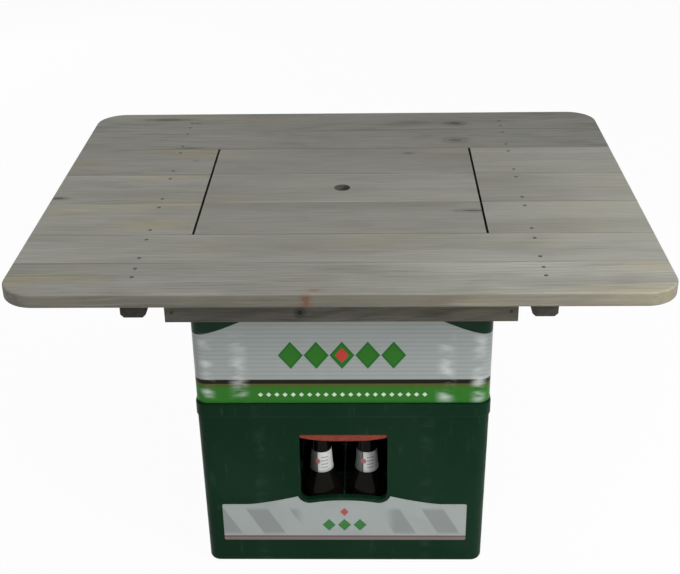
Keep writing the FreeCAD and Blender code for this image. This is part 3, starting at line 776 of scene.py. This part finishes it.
@dataclass(frozen=True)
class NeckPaper(Finish):
    """Paper round a bottle's neck: a white part and a grey part, a dark upright line, a disc and thin lines.

    Heights are above the bottle's foot, and distances along the crate are from the bottle's middle.
    """

    pitch: float
    foot: float
    soft: float = 0.0003
    fold: float = -0.0055
    fold_line: Pair = (-0.0062, -0.0050)
    lines_along: Pair = (0.0, 0.0095)
    lines_rows: Pair = (0.1423, 0.1623)
    line_pitch: float = 0.0055
    line_edges: Pair = (0.22, 0.12)
    disc_height: float = 0.1533
    disc_side: float = -0.0050
    disc_radius: float = 0.0038
    roughness: Pair = (0.5, 0.65)
    shine: float = 0.5
    relief: Pair = (0.1, 0.0003)
    white: Shade = (206, 208, 207)
    shaded: Shade = (96, 99, 96)
    rose: Shade = (172, 104, 108)
    ink: Shade = (40, 38, 36)
    grey: Shade = (146, 148, 148)

    def paint(self, graph: Graph) -> None:
        """Print the paper.

        Args:
            graph: The material's graph.
        """
        turns = graph.math("FRACT", graph.math("DIVIDE", graph.part(Axis.X), self.pitch))
        along = graph.product(graph.math("SUBTRACT", turns, 0.5), self.pitch)
        height = graph.math("SUBTRACT", graph.part(Axis.Z), self.foot)
        edges = [self.line_pitch * edge for edge in self.line_edges]
        lines = graph.product(
            graph.spread(graph.cell(height, self.line_pitch), *edges),
            graph.band(along, *self.lines_along, self.soft),
            graph.band(height, *self.lines_rows, self.soft),
        )
        across = graph.math("POWER", graph.away(along, self.disc_side), 2.0)
        rise = graph.math("POWER", graph.away(height, self.disc_height), 2.0)
        reach = graph.math("SQRT", graph.math("ADD", across, rise))
        colour = graph.layered(self.white, (
            (graph.below(along, self.fold, self.soft), self.shaded),
            (lines, self.grey),
            (graph.band(along, *self.fold_line, self.soft), self.ink),
            (graph.spread(reach, self.disc_radius + self.soft, self.disc_radius), self.rose),
        ))
        speck = graph.lumps((220.0, 220.0, 220.0), 3.0)
        graph.surface(colour, graph.spread(speck, 0.3, 0.7, *self.roughness), self.shine)
        graph.bump(speck, *self.relief)


def dress_nodes(names: Iterable[str], material: bpy.types.Material) -> None:
    """Give frame nodes their finish.

    Args:
        names: The nodes.
        material: Their material.
    """
    for name in names:
        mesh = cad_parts[name].data
        mesh.materials.clear()
        mesh.materials.append(material)
        LOG.info("dressed %s", name)


def make_object(name: str, shape: bmesh.types.BMesh, material: bpy.types.Material) -> bpy.types.Object:
    """Turn a finished shape into an object of the scene.

    Args:
        name: The object's name.
        shape: Its mesh, in the table's frame.
        material: Its finish.

    Returns:
        The object.
    """
    mesh = bpy.data.meshes.new(name)
    shape.to_mesh(mesh)
    shape.free()
    mesh.materials.append(material)
    made = bpy.data.objects.new(name, mesh)
    bpy.context.scene.collection.objects.link(made)
    LOG.info("made %s with %d faces", name, len(mesh.polygons))
    return made


def vertices(geometry: Iterable[object]) -> list[bmesh.types.BMVert]:
    """Pick the vertices out of an operator's result."""
    return [item for item in geometry if isinstance(item, bmesh.types.BMVert)]


def draw_out(shape: bmesh.types.BMesh, corners: Iterable[Triple], reach: Triple) -> bmesh.types.BMesh:
    """Add a flat face to a shape and draw it out into a solid.

    Args:
        shape: The mesh that takes it.
        corners: The face's corners in order.
        reach: How far the face is drawn out along each axis.

    Returns:
        The shape.
    """
    face = shape.faces.new([shape.verts.new(corner) for corner in corners])
    grown = bmesh.ops.extrude_face_region(shape, geom=[face])
    bmesh.ops.translate(shape, verts=vertices(grown["geom"]), vec=reach)
    bmesh.ops.recalc_face_normals(shape, faces=shape.faces)
    return shape


@dataclass(frozen=True)
class BoardLook:
    """How one board's wash differs from its neighbours: tone at both ends, which is partly its own and
    partly painted light and shade, warmth, knots and grain.

    The tone changes between the turn and the settle, which are shares of the board's length.
    """

    left: float
    right: float
    warmth: float
    knots: tuple[Knot, ...] = ()
    grain: float = 1.0
    # When set, the board's seams get a painted highlight of their edges in place of the dark line.
    highlit_edges: bool = False
    turn: float = 0.0
    settle: float = 1.0


@dataclass
class BoardTop:
    """The loose top: fixed boards, hatch, battens, collar, the wash in their seams and their fixings."""

    outline_margin: float = 0.01
    # Painted shade for the board sides in the gap round the hatch, and a lighter one for the hatch's own
    # sides and finger hole.
    painted_gap_shadow: Shade = (60, 56, 48)
    painted_hole_shadow: Shade = (96, 92, 82)
    gap_margin: float = 0.008
    first_seed: float = 1.0
    seed_step: float = 2.3
    # Painted highlight along the seams of a board whose edges catch light.
    seam_highlight: Shade = (168, 167, 158)
    highlight_reach: float = 0.0042
    highlight_share: Pair = (0.20, 0.5)
    wash_recess: float = 0.0003
    wash_dip: float = 0.0003
    wash_depth: float = 0.0015
    wash_margin: float = 0.004
    wash: PlainFinish = PlainFinish((136, 134, 125), (114, 112, 104), (0.7, 0.85), grain=60.0, shine=0.1)
    steel: PlainFinish = PlainFinish((58, 54, 47), (36, 33, 29), (0.5, 0.75), grain=900.0, metallic=0.3)
    # The wood below the top takes a lowered tone, partly painted shade.
    under: WashedWood = WashedWood(
        tone=(0.58, 0.58),
        seed=41.0,
        grain=1.6,
        knots=(Knot(-52, 428, 9, 9, 1.0, face=Face.FRONT),),
        edge=(118, 116, 106),
        pale=(146, 143, 131),
        dark=(74, 72, 64),
    )
    cross_seed: float = 47.0
    # Lower tones, partly painted shade, for the crosswise pieces, and lower still for the battens, the left
    # one most.
    cross_shade_tone: float = 0.36
    batten_shade_tones: Pair = (0.19, 0.32)
    # The tones here are partly painted light and shade: boards at the back darker, darkest at their right
    # ends, and the front and right boards lighter towards the right.
    looks: dict[str, BoardLook] = field(default_factory=lambda: {
        "back_edge_board": BoardLook(0.69, 0.54, 0.60, (
            Knot(-279, 283, 54, 9, 0.80),
            Knot(-231, 266, 10, 5, 0.45),
            Knot(110, 262, 30, 8, 0.30),
            Knot(171, 258, 24, 12, 0.90),
        ), grain=1.7),
        "back_inner_board": BoardLook(0.68, 0.54, 0.20, (
            Knot(166, 184, 28, 18, 0.50),
            Knot(-229, 156, 30, 5, 0.60),
        ), grain=1.5),
        "front_inner_board": BoardLook(0.87, 1.04, 0.25, grain=0.85, turn=0.4),
        "front_edge_board": BoardLook(0.74, 1.08, 0.70, (
            Knot(-36, 518.5, 10, 16, 0.65, Stain.RED, Face.FRONT),
            Knot(-26, -303, 18, 6, 0.45, Stain.RED),
            Knot(118, 518, 56, 10, 0.15, Stain.RED, Face.FRONT),
        ), grain=1.3, turn=0.36, settle=0.76),
        "left_back_board": BoardLook(0.68, 0.71, 0.70, (Knot(-212, 104, 9, 5, 0.30),)),
        "left_middle_board": BoardLook(0.84, 0.79, 1.0, (Knot(-380, -32, 20, 7, 0.90),), grain=1.2),
        "left_front_board": BoardLook(0.89, 0.89, 0.70),
        "right_back_board": BoardLook(0.80, 0.92, 0.25, grain=0.8),
        "right_middle_board": BoardLook(0.76, 0.98, 0.25, grain=0.8),
        "right_front_board": BoardLook(0.88, 1.10, 0.15, grain=0.55),
        "hatch_back_board": BoardLook(0.73, 0.68, 0.30, (Knot(94, 129, 11, 5, 0.60),), grain=0.8),
        "hatch_middle_board": BoardLook(0.74, 0.77, 0.25, grain=0.8, highlit_edges=True),
        "hatch_front_board": BoardLook(0.73, 0.77, 0.15, (Knot(170, -80, 34, 8, 0.60),), grain=0.9),
    })
    fixed_rows: tuple[tuple[str, ...], ...] = (
        ("front_edge_board", "front_inner_board"),
        ("front_inner_board", "left_front_board", "left_middle_board"),
        ("left_middle_board", "left_back_board", "back_inner_board"),
        ("front_inner_board", "right_front_board", "right_middle_board"),
        ("right_middle_board", "right_back_board", "back_inner_board"),
        ("back_inner_board", "back_edge_board"),
    )
    hatch_row: tuple[str, ...] = ("hatch_front_board", "hatch_middle_board", "hatch_back_board")

    def opening(self) -> Pair:
        """Give half the length and half the width of the hatch, with the gap round it."""
        low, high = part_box("hatch_front_board")
        return (high.x + self.gap_margin, -low.y + self.gap_margin)

    def seams(self, name: str) -> tuple[float, ...]:
        """Give the places of a board's long edges that lie against another board, front to back."""
        outline = max(CAD_BOX[1].y, -CAD_BOX[0].y) - self.outline_margin
        return tuple(corner.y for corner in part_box(name) if abs(corner.y) < outline)

    def board(self, name: str, look: BoardLook, seed: float) -> WashedWood:
        """Give the finish of one board.

        Args:
            name: The board.
            look: How it differs from its neighbours.
            seed: A number that sets its grain apart.

        Returns:
            The finish.
        """
        low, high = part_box(name)
        length = high.x - low.x
        wood = WashedWood(
            tone=(look.left, look.right),
            ends=(low.x + look.turn * length, low.x + look.settle * length),
            warmth=look.warmth,
            seed=seed,
            grain=look.grain,
            knots=look.knots,
            seams=self.seams(name),
            inner=self.painted_hole_shadow if name in self.hatch_row else self.painted_gap_shadow,
            inner_half=self.opening(),
        )
        if look.highlit_edges:
            wood = replace(wood, seam=self.seam_highlight, seam_reach=self.highlight_reach, seam_share=self.highlight_share)
        return wood

    def seam_wash(self, rows: Iterable[tuple[str, ...]]) -> bmesh.types.BMesh:
        """Make the dried wash that lies in the seams between boards, just below their faces.

        Args:
            rows: Rows of boards that lie side by side, front to back.

        Returns:
            The strips, hollow along their tops.
        """
        shape = bmesh.new()
        for front, back in (pair for row in rows for pair in zip(row, row[1:])):
            (front_low, front_high), (back_low, back_high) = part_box(front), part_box(back)
            start = max(front_low.x, back_low.x) + self.wash_margin
            end = min(front_high.x, back_high.x) - self.wash_margin
            top = front_high.z - self.wash_recess
            profile = (
                (front_high.y, top),
                ((front_high.y + back_low.y) / 2, top - self.wash_dip),
                (back_low.y, top),
                (back_low.y, top - self.wash_depth),
                (front_high.y, top - self.wash_depth),
            )
            draw_out(shape, [(start, y, z) for y, z in profile], (end - start, 0.0, 0.0))
        return shape

    def dress(self) -> None:
        """Give every wooden node and its fixings their finish, and lay the wash in the seams."""
        for index, (name, look) in enumerate(self.looks.items()):
            wood = self.board(name, look, self.first_seed + self.seed_step * index)
            dress_nodes([name], wood.material(f"washed_{name}"))
        wash = self.wash.material("seam_wash")
        seams = (("top", self.fixed_rows, "tabletop"), ("hatch", (self.hatch_row,), "hatch"))
        for part, rows, body in seams:
            strips = make_object(f"seam_wash_{part}", self.seam_wash(rows), wash)
            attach(strips, body)
        cross_shade_tone = (self.cross_shade_tone, self.cross_shade_tone)
        cross = replace(self.under, tone=cross_shade_tone, seed=self.cross_seed, grain_axis=Axis.Y, knots=())
        dress_nodes(("collar_front", "collar_back"), self.under.material("under_wood_lengthwise"))
        crosswise = ("collar_left", "collar_right", "hatch_batten_left", "hatch_batten_right")
        dress_nodes(crosswise, cross.material("under_wood_crosswise"))
        # Painted shade: each batten's tone is lowered, the left one most.
        for side, tone in zip(("left", "right"), self.batten_shade_tones):
            batten = replace(cross, tone=(tone, tone))
            dress_nodes([f"cross_batten_{side}"], batten.material(f"shaded_batten_wood_{side}"))
        fixings = ("plank_nails", "collar_screws", "side_screws", "hatch_screws")
        dress_nodes(fixings, self.steel.material("weathered_steel"))


@dataclass(frozen=True)
class HandHole:
    """The outline of a crate's hand hole, with rounded lower corners and a lower edge that bows up."""

    half_width: float = 0.0605
    bottom: float = 0.1145
    corner: float = 0.012
    bow: float = 0.250
    border: float = 0.004

    def lower_edge(self, outside: float, steps: int) -> list[Pair]:
        """Follow the lower edge at a distance outside the hole, from the middle to the side.

        Args:
            outside: The distance.
            steps: Points on each arc.

        Returns:
            Points as distance along the wall and height.
        """
        aside = self.half_width - self.corner
        corner_height = self.bottom + self.corner
        between = self.bow + self.corner
        lean = math.asin(aside / between)
        bow_height = corner_height - between * math.cos(lean)
        bow = self.bow - outside
        corner = self.corner + outside
        edge = []
        for step in range(steps + 1):
            angle = lean * step / steps
            edge.append((bow * math.sin(angle), bow_height + bow * math.cos(angle)))
        for step in range(1, steps + 1):
            angle = (math.pi / 2 + lean) * step / steps - lean
            edge.append((aside + corner * math.sin(angle), corner_height - corner * math.cos(angle)))
        return edge


@dataclass
class CrateStack:
    """The two moulded crates, the lower one's label and grips, and the compartment strips."""

    rim_height: float = 0.020
    rim_step: float = 0.0015
    draft: float = 0.002
    bottom_edge: float = 0.0035
    hole: HandHole = HandHole()
    label_half: float = 0.1725
    label_bottom: float = 0.0434
    label_height: float = 0.0634
    peak_rise: float = 0.0140
    slope_length: float = 0.073
    slope_power: float = 1.4
    hole_gap: float = 0.0015
    film: float = 0.0004
    film_corner: float = 0.0015
    round_steps: int = 8
    strips: PlainFinish = PlainFinish((26, 54, 39), (40, 68, 53), (0.45, 0.6), shine=0.14)
    grips: PlainFinish = PlainFinish((136, 60, 46), (126, 52, 40), (0.40, 0.55), shine=0.15)

    def dress(self) -> None:
        """Give the crates, strips and grips their finish, and add the labels."""
        low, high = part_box("upper_crate")
        printed = PrintedBands(corner=(high.x, high.y), bottom=low.z + self.nest())
        dress_nodes(["upper_crate"], printed.material("printed_crate"))
        # A painted highlight line runs along the lower crate's rim ledge.
        plastic = CratePlastic(ledge_highlights=(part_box("lower_crate")[1].z - self.rim_height,))
        dress_nodes(["lower_crate"], plastic.material("green_crate"))
        strips = [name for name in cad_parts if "_strip_" in name]
        dress_nodes(strips, self.strips.material("strip_plastic"))
        dress_nodes(("grip_front", "grip_back"), self.grips.material("red_grip"))
        film = LabelFilm(self.label_bottom).material("label_film")
        for side, sign in (("front", -1.0), ("back", 1.0)):
            label = make_object(f"lower_label_{side}", self.label(sign), film)
            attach(label, "lower_crate")

    def nest(self) -> float:
        """Give how deep the upper crate's foot stands in the lower crate."""
        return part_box("lower_crate")[1].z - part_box("upper_crate")[0].z

    def wall(self, height: float) -> float:
        """Give the distance of the lower crate's long wall from the middle at a height.

        Args:
            height: Height above the ground.

        Returns:
            The distance of the outer face.
        """
        low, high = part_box("lower_crate")
        top = high.z - self.rim_height
        foot = low.z + self.nest() + self.bottom_edge
        return high.y - self.rim_step - self.draft * (top - height) / (top - foot)

    def label_outline(self) -> list[Pair]:
        """Give the outline of the film, up and round the hand hole.

        Returns:
            Points as distance along the wall and height.
        """
        top = self.label_bottom + self.label_height
        edge = self.hole.lower_edge(self.hole.border + self.hole_gap, self.round_steps)
        half = [(x, z) for x, z in edge if z < top + self.peak_rise]
        start = half[-1][0]
        for step in range(2 * self.round_steps + 1):
            share = step / (2 * self.round_steps)
            rise = self.peak_rise * (1 - share) ** self.slope_power
            half.append((start + self.slope_length * share, top + rise))
        end = self.label_half
        cut = self.film_corner
        half += [(end - cut, top), (end, top - cut)]
        half += [(end, self.label_bottom + cut), (end - cut, self.label_bottom)]
        return half + [(-x, z) for x, z in reversed(half[1:])]

    def label(self, sign: float) -> bmesh.types.BMesh:
        """Make the film on a long side of the lower crate: -1 for the front and 1 for the back."""
        corners = [(x, sign * self.wall(z), z) for x, z in self.label_outline()]
        return draw_out(bmesh.new(), corners, (0.0, sign * self.film, 0.0))


@dataclass
class StowedBottles:
    """The capped bottles in the lower crate and the plain paper on their necks."""

    columns: int = 6
    lines: int = 4
    diameter: float = 0.061
    steps: int = 28
    profile: Profile = (
        (0.0, 0.002), (0.020, 0.0), (0.0275, 0.0015), (0.0305, 0.006), (0.0305, 0.092), (0.0300, 0.100),
        (0.0275, 0.110), (0.0225, 0.121), (0.0178, 0.131), (0.0156, 0.141), (0.0146, 0.157), (0.0136, 0.182),
        (0.0131, 0.193), (0.0146, 0.195), (0.0146, 0.199), (0.0133, 0.201), (0.0133, 0.2065), (0.0, 0.2065),
    )
    paper_heights: tuple[float, ...] = (0.1358, 0.141, 0.149, 0.157, 0.168)
    paper_lift: float = 0.0003
    seam_limit: float = 1e-6
    glass: PlainFinish = PlainFinish((15, 12, 8), (10, 8, 6), (0.03, 0.06), grain=60.0, shine=0.08)
    tin: PlainFinish = PlainFinish((150, 132, 84), (128, 110, 66), (0.3, 0.45), grain=400.0, metallic=0.7)

    def pitch(self) -> Pair:
        """Give the distance from one bottle to the next, along and across the crate."""
        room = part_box("bottles")[1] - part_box("bottles")[0]
        return ((room.x - self.diameter) / (self.columns - 1), (room.y - self.diameter) / (self.lines - 1))

    def places(self) -> list[Vector]:
        """Give the foot of every bottle.

        Returns:
            The middles of the bottles on the crate's floor.
        """
        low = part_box("bottles")[0]
        radius = self.diameter / 2
        along, across = self.pitch()
        row = [low.x + radius + column * along for column in range(self.columns)]
        rank = [low.y + radius + line * across for line in range(self.lines)]
        return [Vector((x, y, low.z)) for x in row for y in rank]

    def radius(self, height: float) -> float:
        """Give the radius of the glass at a height on the shoulder or neck.

        Args:
            height: Height above the bottle's foot.

        Returns:
            The radius.
        """
        for (wide, below), (slim, above) in zip(self.profile[1:], self.profile[2:]):
            if below <= height <= above:
                return wide + (slim - wide) * (height - below) / (above - below)
        raise ValueError(f"no glass at {height}")

    def paper(self) -> Profile:
        """Give the profile of the neck paper, which follows the glass.

        Returns:
            Radius and height of each point, up the outside and down the inside.
        """
        outer = [(self.radius(height) + self.paper_lift, height) for height in self.paper_heights]
        inner = [(radius - 2 * self.paper_lift, height) for radius, height in reversed(outer)]
        return tuple(outer + inner)

    def turned(self, profile: Profile, closed: bool) -> bmesh.types.BMesh:
        """Spin a profile about the upright axis and set a copy at every place.

        Args:
            profile: Radius and height of each point.
            closed: Whether the profile's last point joins its first.

        Returns:
            The copies.
        """
        shape = bmesh.new()
        points = [shape.verts.new((radius, 0.0, height)) for radius, height in profile]
        pairs = list(zip(points, points[1:])) + ([(points[-1], points[0])] if closed else [])
        edges = [shape.edges.new(pair) for pair in pairs]
        turn = {"cent": ORIGIN, "axis": (0.0, 0.0, 1.0), "angle": math.tau, "steps": self.steps}
        bmesh.ops.spin(shape, geom=points + edges, use_merge=True, **turn)
        bmesh.ops.remove_doubles(shape, verts=shape.verts, dist=self.seam_limit)
        bmesh.ops.recalc_face_normals(shape, faces=shape.faces)
        first = list(shape.verts) + list(shape.edges) + list(shape.faces)
        spots = self.places()
        for spot in spots[1:]:
            copy = bmesh.ops.duplicate(shape, geom=first)
            bmesh.ops.translate(shape, verts=vertices(copy["geom"]), vec=spot)
        bmesh.ops.translate(shape, verts=vertices(first), vec=spots[0])
        for face in shape.faces:
            face.smooth = True
        return shape

    def dress(self) -> None:
        """Make the bottles and their neck papers, and finish the caps."""
        glass = self.glass.material("dark_glass")
        bottles = make_object("stowed_bottles", self.turned(self.profile, False), glass)
        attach(bottles, "lower_crate")
        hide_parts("bottles")
        paper = NeckPaper(self.pitch()[0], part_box("bottles")[0].z).material("neck_paper")
        papers = make_object("neck_papers", self.turned(self.paper(), True), paper)
        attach(papers, "lower_crate")
        dress_nodes(["bottle_caps"], self.tin.material("cap_tin"))


@dataclass(frozen=True)
class SoftLamp:
    """A soft rectangular lamp, placed and aimed in metres, with its power in watts."""

    name: str
    place: Triple
    target: Triple
    width: float
    height: float
    power: float

    def hang(self) -> None:
        """Hang the lamp in the scene."""
        data = bpy.data.lights.new(self.name, "AREA")
        data.shape = "RECTANGLE"
        data.size = self.width
        data.size_y = self.height
        data.energy = self.power
        lamp = bpy.data.objects.new(self.name, data)
        place = Vector(self.place)
        aim = (Vector(self.target) - place).to_track_quat("-Z", "Y")
        lamp.matrix_world = Matrix.Translation(place) @ aim.to_matrix().to_4x4()
        bpy.context.scene.collection.objects.link(lamp)
        LOG.info("hung %s", self.name)


@dataclass
class Studio:
    """Pale floor, soft lights and the camera at the photograph's place, with its angles in radians."""

    focal_pixels: float = 1172.2
    place: Triple = (0.033975, -1.476850, 1.136339)
    pitch: float = 0.4755
    yaw: float = -0.0264
    roll: float = -0.0159
    sensor: float = 36.0
    view_end: float = 60.0
    floor_half: float = 9.0
    floor_shade: Colour = (0.72, 0.72, 0.72, 1.0)
    floor_glow: float = 0.965
    sky: float = 0.176
    lamps: tuple[SoftLamp, ...] = (
        SoftLamp("overhead", (0.3, -0.9, 2.8), (0.0, 0.0, 0.4), 2.4, 2.0, 47.5),
        SoftLamp("front_right", (1.5, -1.4, 1.4), (0.3, 0.0, 0.5), 0.5, 0.6, 32.0),
        SoftLamp("front_left", (-2.2, -2.4, 1.5), (0.0, 0.0, 0.4), 0.6, 0.9, 18.0),
        SoftLamp("back_fill", (-1.6, 2.6, 0.9), (0.0, 0.0, 0.3), 1.6, 1.2, 14.0),
    )

    def camera(self) -> None:
        """Set the camera."""
        turns = ((-self.yaw, "Z"), (math.pi / 2 - self.pitch, "X"), (self.roll, "Z"))
        pose = Matrix.Translation(self.place)
        for angle, axis in turns:
            pose = pose @ Matrix.Rotation(angle, 4, axis)
        data = bpy.data.cameras.new("photo_camera")
        data.sensor_width = self.sensor
        data.lens = self.focal_pixels * self.sensor / PHOTO_WIDTH
        data.clip_end = self.view_end
        holder = bpy.data.objects.new("photo_camera", data)
        holder.matrix_world = pose
        bpy.context.scene.collection.objects.link(holder)
        bpy.context.scene.camera = holder

    def backdrop(self, nodes: Nodes, output: str, lit: Socket, shown: Socket, share: float) -> None:
        """End a tree with one shader that lights the object and another that is seen behind it.

        Args:
            nodes: The tree.
            output: The type of its output node.
            lit: The shader for rays that light the object.
            shown: The shader for rays that show the backdrop.
            share: How much of the second those rays get.
        """
        path = nodes.add("LightPath", {}).outputs
        seen = path["Is Camera Ray"]
        for name in ("Is Glossy Ray", "Is Transmission Ray"):
            seen = nodes.math("MAXIMUM", seen, path[name])
        blend = nodes.add("MixShader", {0: nodes.math("MULTIPLY", seen, share), 1: lit, 2: shown})
        nodes.add(output, {0: blend.outputs[0]})

    def floor(self) -> None:
        """Lay the pale floor."""
        shape = bmesh.new()
        bmesh.ops.create_grid(shape, x_segments=1, y_segments=1, size=self.floor_half)
        material = bpy.data.materials.new("pale_floor")
        material.use_nodes = True
        nodes = Nodes(material.node_tree)
        matt = nodes.add("BsdfDiffuse", {"Color": self.floor_shade}).outputs[0]
        glow = nodes.add("Emission", {"Color": WHITE}).outputs[0]
        self.backdrop(nodes, "OutputMaterial", matt, glow, self.floor_glow)
        make_object("floor", shape, material)

    def world(self) -> None:
        """Set an even soft sky that shows white behind the object."""
        world = bpy.data.worlds.new("studio")
        bpy.context.scene.world = world
        world.use_nodes = True
        nodes = Nodes(world.node_tree)
        dim, white = (
            nodes.add("Background", {"Color": WHITE, "Strength": strength}).outputs[0]
            for strength in (self.sky, 1.0)
        )
        self.backdrop(nodes, "OutputWorld", dim, white, 1.0)

    def build(self) -> None:
        """Set up the whole studio."""
        bpy.context.scene.view_settings.view_transform = "Standard"
        self.camera()
        self.floor()
        self.world()
        for lamp in self.lamps:
            lamp.hang()


def main() -> None:
    """Build and dress the table, and set up the studio."""
    logging.basicConfig(level=logging.INFO, format="%(name)s: %(message)s")
    BoardTop().dress()
    CrateStack().dress()
    StowedBottles().dress()
    Studio().build()


if __name__ == "__main__":
    main()
